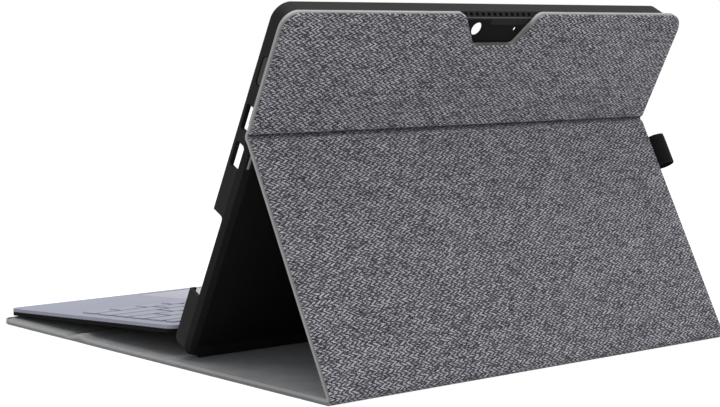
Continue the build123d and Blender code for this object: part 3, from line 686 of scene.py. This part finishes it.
# ---------------------------------------------------------------- operators
class CaseMaterials(bpy.types.Operator):
    """Makes the finishes of the case"""
    bl_idname = "object.case_materials"
    bl_label = "Finishes"

    def execute(self, context):
        cloth, tray, board = (
            context.scene.case_cloth, context.scene.case_tray, context.scene.case_keyboard)
        trim, plastic = tuple(cloth.trim), tuple(tray.plastic)
        deck, base = tuple(board.deck), tuple(board.base)
        herringbone_cloth(cloth)
        suede("suede_lining", tuple(cloth.lining))
        knitted_elastic("elastic", tuple(tray.elastic))
        circuit("circuit")
        # name, colour, roughness, size of the grain, its depth, spread of tone, other inputs
        for name, colour, roughness, grain, depth, tone, extra in (
            ("sealed_edge", trim, 0.6, 0.0005, 0.0001, 0.12, {}),
            # A darker copy of the edge colour for the edge's half towards the outer face: painted
            # shade
            ("sealed_edge_painted_shade", shade(trim, 0.55), 0.7, 0.0005, 0.0001, 0.12, {}),
            # The frame and the plates are one plastic, painted as a lit and a shaded copy: the
            # plates darker and matt, as painted shade
            ("tray_plastic", shade(plastic, 1.5), 0.55, 0.0004, 0.00005, 0.1,
             {"Specular_IOR_Level": 0.04}),
            ("plate_plastic_painted_shade", plastic, 0.55, 0.0004, 0.00005, 0.1, {"Specular_IOR_Level": 0.0}),
            # Four times the plate's colour, for the rim: a painted highlight line along the plate's
            # top edge
            ("plate_rim_painted_highlight", shade(plastic, 4), 0.5, 0.0004, 0.00004, 0.1, {}),
            ("button_rubber", tuple(tray.rubber), 0.62, 0.0003, 0.00004, 0.1, {}),
            ("backing_sheet", tuple(tray.backing), 0.45, 0.0008, 0.00004, 0.06, {}),
            ("grey_board", (0.18, 0.17, 0.16), 0.9, 0.0012, 0.0001, 0.25, {}),
            ("deck_skin", deck, 0.7, 0.0005, 0.00005, 0.07, {"Sheen_Weight": 0.08}),
            ("key_plastic", tuple(board.keys), 0.5, 0.0003, 0.00003, 0.05, {}),
            # The keyboard's underside, near black: its own dark colour and painted shade under the
            # keyboard
            ("base_skin_dark_and_shaded", base, 0.7, 0.0006, 0.00008, 0.12, {"Specular_IOR_Level": 0.05}),
            ("touchpad_glass", shade(deck, 0.9), 0.3, 0.0003, 0.00001, 0.03, {}),
            ("dock_cloth", base, 0.85, 0.0005, 0.0002, 0.2, {}),
            ("switch_film", (0.1, 0.1, 0.1), 0.4, 0.002, 0.00002, 0.1, {}),
        ):
            grained(name, colour, roughness, grain, depth, tone, **extra)
        metal("steel", (0.55, 0.56, 0.58), 0.35)
        metal("nickel", (0.62, 0.6, 0.56), 0.28)
        metal("gold", (0.83, 0.6, 0.24), 0.25)
        paint("grey_board", "front_cover_board", "closure_flap_board", "spine_board",
              "stand_board", "upper_board")
        paint("tray_plastic", "tray_frame")
        # The plates get the darker, matt copy of the tray's plastic: painted shade
        paint("plate_plastic_painted_shade", "tray_back_plate", "camera_plate")
        paint("backing_sheet", "backing_sheet")
        paint("steel", "foot_strips", "dock_plates", "keyboard_back_plate", "touchpad_switch_plate")
        paint("nickel", "foot_magnets", "flap_magnets", "upper_magnets", "dock_magnets")
        paint("gold", "contact_pins")
        paint("dock_cloth", "dock_strip", "hinge_roll")
        paint("base_skin_dark_and_shaded", "keyboard_base")
        paint("deck_skin", "keyboard_deck")
        paint("switch_film", "switch_sheet")
        paint("circuit", "circuit_board")
        return {"FINISHED"}


def outer_materials():
    return [finish(name) for name in (
        "herringbone_cloth", "sealed_edge", "suede_lining", "sealed_edge_painted_shade")]


def crease_stations(settings):
    """Across the crease: the cloth turns round its line and is pressed in between the boards."""
    reach = CREASE_REACH
    start, end = math.pi - LEAN, LEAN
    made = []
    for s in steps(-reach, reach, 0.0003):
        turn = start + (end - start) * smooth((s + reach) / (2 * reach))
        place = panel(CREASE, turn)
        depth = settings.groove * (0.55 + 0.45 * smooth((s + 0.0005) / 0.0030))
        press = depth * smooth((0.0028 - abs(s - 0.0003)) / 0.0006)
        made.append(Station(at(place, 0, s, 0), place.inward, STAND_L + s, press))
    return made


def roll_stations():
    """Round the rear hinge line."""
    made = []
    for i in range(1, 20):
        turn = (math.pi - LEAN) * i / 20
        place = panel(HINGE, turn)
        made.append(Station(Vector(HINGE), place.inward, -PANEL_T * (math.pi - LEAN - turn)))
    return made


def bend_wave(y):
    """How the lined side rises and dips where the closure flap bends."""
    total = 0.0
    for place, reach, height in BEND_WAVE:
        away = (y - place) / reach
        total += height * math.exp(-away * away)
    return total


class CaseOuterCloth(bpy.types.Operator):
    """Makes the outer cloth of the flap, front cover, spine, stand and upper panel"""
    bl_idname = "object.case_outer_cloth"
    bl_label = "Outer cloth"

    def execute(self, context):
        settings = context.scene.case_cloth
        mats = outer_materials()
        floor_run = -HINGE.y - PANEL_T * (math.pi - LEAN)
        mid_spine = (SPINE_LINE.y + HINGE.y) / 2
        mid_stand = STAND_L / 2

        def at_bend(y, half, depth):
            return lambda v: depth * smooth((half - abs(v - y)) / (0.7 * half))

        # closure flap to the middle of the front cover; the flap's corners are rounded
        corner = 0.008
        values = runs(FLAP_END + corner, (FLAP_BOARD_END, 0.008), (FRONT_BOARD_END, 0.002),
                      (MID_FRONT, 0.01))
        soft = at_bend(FLAP_LINE.y, 0.012, 0.0004)
        flap = cloth_strip(
            "flap_cloth", flat_stations(FLOOR, values, floor_run, soft, bend_wave), settings, mats)
        outline = [(-COVER_HALF, FLAP_END + corner)]
        outline += arc(-COVER_HALF + corner, FLAP_END + corner, corner, 180, 270, 8)[1:]
        outline += arc(COVER_HALF - corner, FLAP_END + corner, corner, 270, 360, 8)
        tip = cap_piece(
            "flap_tip", FLOOR, outline, (0, len(outline) - 1), settings, mats, floor_run)
        flap = joined("flap_cloth", [flap, tip])
        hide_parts("closure_flap_fabric", "front_cover_fabric")
        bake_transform(flap)

        values = runs(MID_FRONT, (SPINE_LINE.y - 0.004, 0.01), (SPINE_LINE.y + 0.004, 0.0005),
                      (mid_spine, 0.004))
        dent = at_bend(SPINE_LINE.y, SPINE_REACH, 0.0002)
        front = cloth_strip(
            "front_cloth", flat_stations(FLOOR, values, floor_run, dent), settings, mats)
        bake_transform(front)

        stations = flat_stations(FLOOR, steps(mid_spine, HINGE.y, 0.003), floor_run)
        stations += roll_stations()
        stations += flat_stations(STAND, runs(0, (0.006, 0.001), (mid_stand, 0.008)), 0)
        rear = cloth_strip("rear_cloth", stations, settings, mats)
        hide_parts("spine_fabric")
        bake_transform(rear)

        seam = UPPER_LOW + CLOTH_LAP
        stations = flat_stations(STAND, steps(mid_stand, STAND_L - CREASE_REACH, 0.008), 0)
        stations += crease_stations(settings)[1:-1]
        stations += flat_stations(TRAY, steps(STAND_L + CREASE_REACH, seam, 0.002), 0)
        crease = cloth_strip("stand_cloth", stations, settings, mats)
        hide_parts("stand_fabric")
        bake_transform(crease)
        return {"FINISHED"}


def cap_piece(name, place, outline, fixed, settings, materials, run, lip=-0.0002):
    """Cloth over the end of a panel: a flat face with rolled edges, closed at its open side."""
    t, r = settings.cloth_t, settings.edge_r
    levels = []
    for angle in (90, 67.5, 45, 22.5, 0):
        inset = r * (1 - math.cos(math.radians(angle)))
        depth = -PANEL_T + r * (1 - math.sin(math.radians(angle)))
        levels.append((inset_ring(outline, inset, fixed), depth))
    seam = lip - (PANEL_T + lip) * SEAM
    levels += [(outline, seam - SEAM_W), (outline, seam), (outline, lip)]
    inner = inset_ring(outline, WALL, fixed)
    levels += [(inner, lip), (inner, -PANEL_T + t)]
    # Bands 3 and 4 paint the edge darker towards the outer face, as painted shade
    made = stacked(name, place, levels, materials, slots=[0, 0, 0, 3, 3, 2, 1, 1, 2])
    layer = made.data.uv_layers["UVMap"].data
    for item in layer:
        item.uv.y += run
    return made


class CaseUpperPanel(bpy.types.Operator):
    """Makes the cloth of the upper panel with its camera window"""
    bl_idname = "object.case_upper_panel"
    bl_label = "Upper panel"

    corner: distance_prop("Corner radius", "Upper corners of the panel", 0.002, 0.03, 0.010)
    window_top: distance_prop(
        "Window at the edge", "Width of the camera window at the top edge", 0.02, 0.1, 0.058)
    window_base: distance_prop(
        "Window at its base", "Width of the camera window at its base", 0.01, 0.1, 0.031)
    window_depth: distance_prop(
        "Window depth", "Depth of the camera window from the top edge", 0.005, 0.05, 0.019)

    def execute(self, context):
        settings = context.scene.case_cloth
        half, r = COVER_HALF, self.corner
        low = UPPER_LOW + CLOTH_LAP
        top = extent(TRAY, "upper_fabric")[1][1]
        outline = [(-half, low), (half, low)]
        outline += arc(half - r, top - r, r, 0, 90, 10)
        outline += window_edge(self.window_top / 2, self.window_base / 2, top, self.window_depth)
        outline += arc(-half + r, top - r, r, 90, 180, 10)
        made = cap_piece(
            "upper_cloth", TRAY, outline, (0, 1), settings, outer_materials(), 0, lip=0.0002)
        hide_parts("upper_fabric")
        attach(made, "tray")
        return {"FINISHED"}


def round_corner(before, corner, after, r, count):
    """An arc that rounds one corner of an outline."""
    c = Vector(corner)
    a, b = (Vector(before) - c).normalized(), (Vector(after) - c).normalized()
    half = a.angle(b) / 2
    reach = r / math.tan(half)
    centre = c + (a + b).normalized() * (r / math.sin(half))
    start, end = c + a * reach - centre, c + b * reach - centre
    turn = start.angle_signed(end)
    points = []
    for i in range(count + 1):
        t = -turn * i / count
        points.append((
            centre.x + start.x * math.cos(t) - start.y * math.sin(t),
            centre.y + start.x * math.sin(t) + start.y * math.cos(t)))
    return points


def window_edge(top_half, base_half, top, depth):
    """The camera window's edge from its right end to its left end."""
    corners = [
        (top_half + 0.02, top), (top_half, top), (base_half, top - depth),
        (-base_half, top - depth), (-top_half, top), (-top_half - 0.02, top)]
    points = []
    for i, r in ((1, 0.0065), (2, 0.004), (3, 0.004), (4, 0.0065)):
        points += round_corner(corners[i - 1], corners[i], corners[i + 1], r, 6)
    return points


class CaseLinings(bpy.types.Operator):
    """Makes the soft linings of flap, front cover, spine and stand"""
    bl_idname = "object.case_linings"
    bl_label = "Linings"

    def execute(self, context):
        suede_lining = finish("suede_lining")

        def waves(y):
            return bend_wave(y) + min(0, 0.00012 * math.sin(y * 190))

        end = FLAP_END + 0.0007
        values = runs(end, (FLAP_BOARD_END, 0.008), (FRONT_BOARD_END, 0.001), (MID_FRONT, 0.008))
        flap = lining_strip("flap_lining", flat_stations(FLOOR, values, 0, waves), suede_lining)
        round_flap_corners(flap, 0.0075, end)
        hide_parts("closure_flap_lining", "front_cover_lining")
        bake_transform(flap)

        def dent(y):
            return -0.00015 * smooth((SPINE_REACH - abs(y - SPINE_LINE.y)) / 0.0015)

        values = runs(MID_FRONT, (SPINE_LINE.y - 0.004, 0.008), (SPINE_LINE.y + 0.004, 0.0005),
                      (HINGE.y - 0.0002, 0.004))
        front = lining_strip("front_lining", flat_stations(FLOOR, values, 0, dent), suede_lining)
        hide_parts("spine_lining")
        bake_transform(front)

        values = steps(0.0002, STAND_L - 0.0005, 0.01)
        stand = lining_strip("stand_lining_cloth", flat_stations(STAND, values, 0), suede_lining)
        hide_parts("stand_lining")
        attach(stand, "stand")
        return {"FINISHED"}


def round_flap_corners(made, r, end):
    """Draws the corner points of a strip's end in to a round corner."""
    for vert in made.data.vertices:
        y = vert.co.y
        if y < end + r:
            drop = end + r - y
            edge = LINING_HALF - r + math.sqrt(max(0.0, r * r - drop * drop))
            if abs(vert.co.x) > edge:
                vert.co.x = math.copysign(edge, vert.co.x)


class CasePenLoop(bpy.types.Operator):
    """Makes the elastic pen loop"""
    bl_idname = "object.case_pen_loop"
    bl_label = "Pen loop"

    def execute(self, context):
        settings = context.scene.case_tray
        elastic = finish("elastic")
        (left, low, deep), (_, high, proud) = extent(STAND, "pen_loop")
        r_out, mid = (proud - deep) / 2, (proud + deep) / 2
        t = 0.0008                       # thickness of the band
        tail, gap = 0.004, 0.00045       # the ends between board and lining, and half their gap
        centre, r = left + r_out, r_out - t / 2
        open_half = math.degrees(math.asin(0.00055 / r))
        line = [(-COVER_HALF + tail, mid - gap), (-COVER_HALF - 0.0002, mid - gap)]
        line += arc(centre, mid, r, -open_half - 4, -360 + open_half + 4, 44)
        line += [(-COVER_HALF - 0.0002, mid + gap), (-COVER_HALF + tail, mid + gap)]
        outer, inner = [], []
        for i, ((x, d), n) in enumerate(zip(line, normals(line))):
            thick = 0.25 * t if i in (0, 1, len(line) - 2, len(line) - 1) else 0.5 * t
            outer.append((x - n.x * thick, d - n.y * thick))
            inner.append((x + n.x * thick, d + n.y * thick))
        section = outer + inner[::-1]
        rings, maps = [], []
        length = [0.0]
        for (ax, ad), (bx, bd) in zip(line, line[1:]):
            length.append(length[-1] + math.hypot(bx - ax, bd - ad))
        around = length + length[::-1]
        for v in steps(low, high, 0.0016):
            rings.append([at(STAND, x, v, d) for x, d in section])
            maps.append([(a, v) for a in around])
        band = skin("pen_loop_band", rings, maps, None, [elastic], 50)
        rib = elastic_rib(outer if outer[20][0] < inner[20][0] else inner, low + 0.0008)
        count = int((high - low - 0.0016) / settings.rib_pitch) + 1
        in_a_row(rib, count, tuple(STAND.along * settings.rib_pitch), elastic)
        loop = joined("pen_loop_elastic", [band, rib])
        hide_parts("pen_loop")
        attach(loop, "stand")
        return {"FINISHED"}


def elastic_rib(line, v):
    """One rubber-cored rib round the loop."""
    rings, maps = [], []
    count = 6
    path = line[2:-2]
    for i, ((x, d), n) in enumerate(zip(path, normals(path))):
        ring = []
        for k in range(count):
            a = 2 * math.pi * k / count
            out, side = 0.00022 * math.cos(a), 0.00042 * math.sin(a)
            ring.append(at(STAND, x + n.x * out, v + side, d + n.y * out))
        rings.append(ring)
        maps.append([(i * 0.0008, 0.0002 * k) for k in range(count)])
    return skin("elastic_rib", rings, maps, None, [finish("elastic")], 80)


class CaseTrayDetails(bpy.types.Operator):
    """Makes the backing sheet's sealed edges, the camera plate's rim, painted lighter as a
    highlight, and a dark sheet behind the vents, as painted shade
    """
    bl_idname = "object.case_tray_details"
    bl_label = "Tray details"

    wall: distance_prop("Tray wall", "Thickness of the tray's top wall", 0.001, 0.005, 0.002)
    rim_rise: distance_prop(
        "Rim above the plate",
        "How far over the camera plate the window's rim runs", 0.0, 0.01, 0.0013)
    # Half the length of the dark sheet behind the vents, which paints them dark as shade; the
    # plate's rim is as long
    shade_sheet_half: distance_prop(
        "Half screen", "Half the length of the dust screen", 0.01, 0.1, 0.027)

    def execute(self, context):
        (_, low, back), (half, _, front) = extent(TRAY, "backing_sheet")
        strips = []
        for side in (-1, 1):
            cx, length = side * (half - 0.0006), STAND_L - 0.001 - low
            levels = drawn_in(cx, low + length / 2, 0.0014, length, 0.0004, (
                (0, front), (0, back), (0.0003, back - 0.00018)))
            strips.append(stacked("edge", TRAY, levels, [finish("sealed_edge")]))
        edges = joined("backing_sheet_edges", strips)
        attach(edges, "tray")

        (_, _, outside), (_, plate_top, inside) = extent(TRAY, "camera_plate")
        rim = plate_top + self.rim_rise
        levels = drawn_in(0, rim, 2 * self.shade_sheet_half, 0.0007, 0.0003, (
            (0, outside + 0.0001), (0, outside - 0.0001), (0.0001, outside - 0.0002)))
        # The rim is painted lighter than the plate, as a highlight line
        rib = stacked("plate_rim_painted_highlight", TRAY, levels, [finish("plate_rim_painted_highlight")])
        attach(rib, "tray")
        # A dark sheet behind the vents, painted in as the shade that falls inside the tray
        wall = extent(TRAY, "tray_frame")[1][1] - self.wall
        line = [(wall - 0.0036, inside + 0.0001), (wall - 0.0014, inside + 0.0002),
                (wall - 0.0002, inside + 0.0014), (wall - 0.0001, inside + 0.0036)]
        rings, maps = [], []
        for x in steps(-self.shade_sheet_half, self.shade_sheet_half, 0.004):
            ring = [at(TRAY, x, v, d) for v, d in line]
            ring += [at(TRAY, x, v + 0.00008, d - 0.00008) for v, d in reversed(line)]
            rings.append(ring)
            maps.append([(x, v + d) for v, d in line + line[::-1]])
        screen = skin("vent_painted_shade_sheet", rings, maps, None, [finish("dock_cloth")])
        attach(screen, "tray")
        return {"FINISHED"}


class CaseButtons(bpy.types.Operator):
    """Makes the button covers in the tray's sides"""
    bl_idname = "object.case_buttons"
    bl_label = "Button covers"

    def execute(self, context):
        for node, body, side in (
            ("power_button_pad", "power_button", 1),
            ("volume_button_pad", "volume_button", -1),
        ):
            lows, highs = extent(TRAY, node)
            outside = highs[0] if side > 0 else -lows[0]
            thick = highs[0] - lows[0]
            length, width = highs[1] - lows[1], highs[2] - lows[2]
            cv, cd = (highs[1] + lows[1]) / 2, (highs[2] + lows[2]) / 2
            rings, maps = [], []
            for inset, down in ((0, thick), (0, 0.0005), (0.0002, 0.00022), (0.0005, 0.00006),
                                (0.0009, 0.0), (0.0014, 0.00008), (0.002, 0.0001)):
                outline = rounded_rectangle(
                    cv, cd, length - 2 * inset, width - 2 * inset, 0.0024, 8)
                x = side * (outside - down)
                rings.append([at(TRAY, x, v, d) for v, d in outline])
                maps.append([(v, d) for v, d in outline])
            pad = skin(body + "_cover", rings, maps, None, [finish("button_rubber")])
            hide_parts(node)
            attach(pad, body)
        return {"FINISHED"}


def key_cap(x, v, width, depth, low, high, dish):
    """One key cap with a softened rim and a dished top."""
    edge = 0.0005
    reach = min(width, depth) / 2
    turns = [math.radians(angle) for angle in (30, 60, 90)]
    levels = drawn_in(x, v, width, depth, 0.0016, ((0, low), (0, high - edge)))
    levels += drawn_in(x, v, width, depth, 0.0015, [
        (edge * (1 - math.cos(turn)), high - edge + edge * math.sin(turn)) for turn in turns])
    levels += drawn_in(x, v, width, depth, 0.0014, [
        (reach * share, high - dish * smooth(share)) for share in (0.3, 0.55, 0.8)])
    return stacked("key_cap", DECK, levels, [finish("key_plastic")], None, 40)


class CaseKeys(bpy.types.Operator):
    """Makes the key caps, row by row"""
    bl_idname = "object.case_keys"
    bl_label = "Keys"

    def execute(self, context):
        dish = context.scene.case_keyboard.dish
        plastic = finish("key_plastic")
        rows = {"keys_" + r: "key_row_" + r
                for r in ("function", "number", "upper", "home", "lower", "bottom")}
        rows["space_bar"] = "space_bar"
        for body, node in rows.items():
            caps = islands(node)
            made = []
            i = 0
            while i < len(caps):
                k = i + 1
                while k < len(caps) and abs(caps[k][2] - caps[i][2]) < 1e-5 and (
                        abs(caps[k][0] - caps[k - 1][0] - (caps[i + 1][0] - caps[i][0])) < 1e-5):
                    k += 1
                cap = key_cap(*caps[i], dish)
                if k - i > 1:
                    in_a_row(cap, k - i, (caps[i + 1][0] - caps[i][0], 0, 0), plastic)
                made.append(cap)
                i = k
            piece = joined(body + "_caps", made)
            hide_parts(node)
            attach(piece, body)
        return {"FINISHED"}


class CaseTouchpad(bpy.types.Operator):
    """Makes the touchpad"""
    bl_idname = "object.case_touchpad"
    bl_label = "Touchpad"

    def execute(self, context):
        x, v, width, depth, low, high = islands("touchpad")[0]
        levels = drawn_in(x, v, width, depth, 0.0027, (
            (0, low), (0, high - 0.0002), (0.00012, high - 0.00005), (0.0003, high)), 6)
        pad = stacked("touchpad_surface", DECK, levels, [finish("touchpad_glass")])
        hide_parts("touchpad")
        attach(pad, "touchpad")
        return {"FINISHED"}


class CaseStage(bpy.types.Operator):
    """Makes the floor, the lights, the surroundings and the camera"""
    bl_idname = "object.case_stage"
    bl_label = "Stage"

    def execute(self, context):
        settings = context.scene.case_stage
        scene = context.scene
        scene.view_settings.view_transform = "Standard"
        bm = bmesh.new()
        bmesh.ops.create_grid(bm, x_segments=8, y_segments=8, size=4.0)
        floor = mesh_object("floor", bm, [])
        floor.location.z = -FLOOR_DROP
        s = Shader("pale_floor")
        grain = s.noise(s.place(), 0.05, 2.0)
        colour = tuple(settings.floor)
        s.feed(s.bsdf.inputs["Base Color"], s.ramp(grain, [
            (0.3, shade(colour, 0.99)), (0.7, shade(colour, 1.01))]))
        s.bsdf.inputs["Roughness"].default_value = 0.9
        white_to_camera(s, s.bsdf.outputs[0], FLOOR_SHARE)
        floor.data.materials.append(s.material)

        world = bpy.data.worlds.new("pale_surroundings")
        scene.world = world
        world.use_nodes = True
        nodes, links = world.node_tree.nodes, world.node_tree.links
        back = nodes["Background"]
        back.inputs["Color"].default_value = (1, 1, 1, 1)
        back.inputs["Strength"].default_value = settings.world_level
        plain = nodes.new("ShaderNodeBackground")
        plain.inputs["Color"].default_value = (1, 1, 1, 1)
        plain.inputs["Strength"].default_value = 1.0
        seen = seen_rays(nodes, links)
        mix = nodes.new("ShaderNodeMixShader")
        links.new(seen, mix.inputs[0])
        links.new(back.outputs[0], mix.inputs[1])
        links.new(plain.outputs[0], mix.inputs[2])
        links.new(mix.outputs[0], nodes["World Output"].inputs[0])

        for name, where, size, power in (
            ("overhead", (0.15, -0.25, 1.5), 1.3, settings.key_power),
            ("front", (-0.4, 1.4, 1.35), 1.2, settings.fill_power),
        ):
            lamp = bpy.data.lights.new(name, "AREA")
            lamp.shape = "DISK"
            lamp.size = size
            lamp.energy = power
            held = bpy.data.objects.new(name, lamp)
            held.location = where
            aim = LIT_POINT - held.location
            held.rotation_euler = aim.to_track_quat("-Z", "Y").to_euler()
            scene.collection.objects.link(held)

        yaw, pitch, roll = (math.radians(a) for a in CAMERA_TURNS)
        ahead = Vector((-math.sin(yaw) * math.cos(pitch), math.cos(yaw) * math.cos(pitch),
                        -math.sin(pitch)))
        right = ahead.cross(Vector((0, 0, 1))).normalized()
        up = right.cross(ahead)
        level = right * math.cos(roll) + up * math.sin(roll)
        upright = up * math.cos(roll) - right * math.sin(roll)
        camera = bpy.data.cameras.new("camera")
        camera.lens = CAMERA_LENS
        camera.sensor_width = 36
        camera.clip_start = 0.05
        held = bpy.data.objects.new("camera", camera)
        held.matrix_world = Matrix((
            (level.x, upright.x, -ahead.x, CAMERA_PLACE[0]),
            (level.y, upright.y, -ahead.y, CAMERA_PLACE[1]),
            (level.z, upright.z, -ahead.z, CAMERA_PLACE[2]),
            (0, 0, 0, 1)))
        scene.collection.objects.link(held)
        scene.camera = held
        return {"FINISHED"}


def seen_rays(nodes, links):
    """1 for rays from the camera and in mirrors and glass."""
    path = nodes.new("ShaderNodeLightPath")
    value = path.outputs["Is Camera Ray"]
    for name in ("Is Glossy Ray", "Is Transmission Ray"):
        add = nodes.new("ShaderNodeMath")
        add.operation = "MAXIMUM"
        links.new(value, add.inputs[0])
        links.new(path.outputs[name], add.inputs[1])
        value = add.outputs[0]
    return value


def white_to_camera(s, surface, share):
    """Lets the floor read as white to the camera, and keeps part of its shading."""
    glow = s.node("Emission")
    glow.inputs["Color"].default_value = (1, 1, 1, 1)
    glow.inputs["Strength"].default_value = FLOOR_GLOW
    amount = s.math("MULTIPLY", seen_rays(s.nodes, s.links), share)
    mix = s.node("MixShader")
    s.feed(mix.inputs[0], amount)
    s.feed(mix.inputs[1], surface)
    s.feed(mix.inputs[2], glow.outputs[0])
    s.feed(s.nodes["Material Output"].inputs[0], mix.outputs[0])


class CasePanel(bpy.types.Panel):
    """Lists the pieces of the case"""
    bl_idname = "VIEW3D_PT_keyboard_case"
    bl_label = "Keyboard case"
    bl_space_type = "VIEW_3D"
    bl_region_type = "UI"
    bl_category = "Keyboard case"

    def draw(self, context):
        layout = self.layout
        for each in PIECES:
            layout.operator(each.bl_idname)
        for group in (context.scene.case_cloth, context.scene.case_tray,
                      context.scene.case_keyboard, context.scene.case_stage):
            column = layout.column(align=True)
            for name in group.__annotations__:
                column.prop(group, name)


SETTINGS = {
    "case_cloth": CaseClothSettings,
    "case_tray": CaseTraySettings,
    "case_keyboard": CaseKeyboardSettings,
    "case_stage": CaseStageSettings,
}
PIECES = (
    CaseMaterials, CaseOuterCloth, CaseUpperPanel, CaseLinings, CasePenLoop, CaseTrayDetails,
    CaseButtons, CaseKeys, CaseTouchpad, CaseStage,
)


def register():
    for each in (*SETTINGS.values(), *PIECES, CasePanel):
        bpy.utils.register_class(each)
    for name, group in SETTINGS.items():
        setattr(bpy.types.Scene, name, bpy.props.PointerProperty(type=group))


def unregister():
    for name in SETTINGS:
        delattr(bpy.types.Scene, name)
    for each in reversed((*SETTINGS.values(), *PIECES, CasePanel)):
        bpy.utils.unregister_class(each)


def main():
    register()
    for each in PIECES:
        area, name = each.bl_idname.split(".")
        getattr(getattr(bpy.ops, area), name)()


if __name__ == "__main__":
    main()
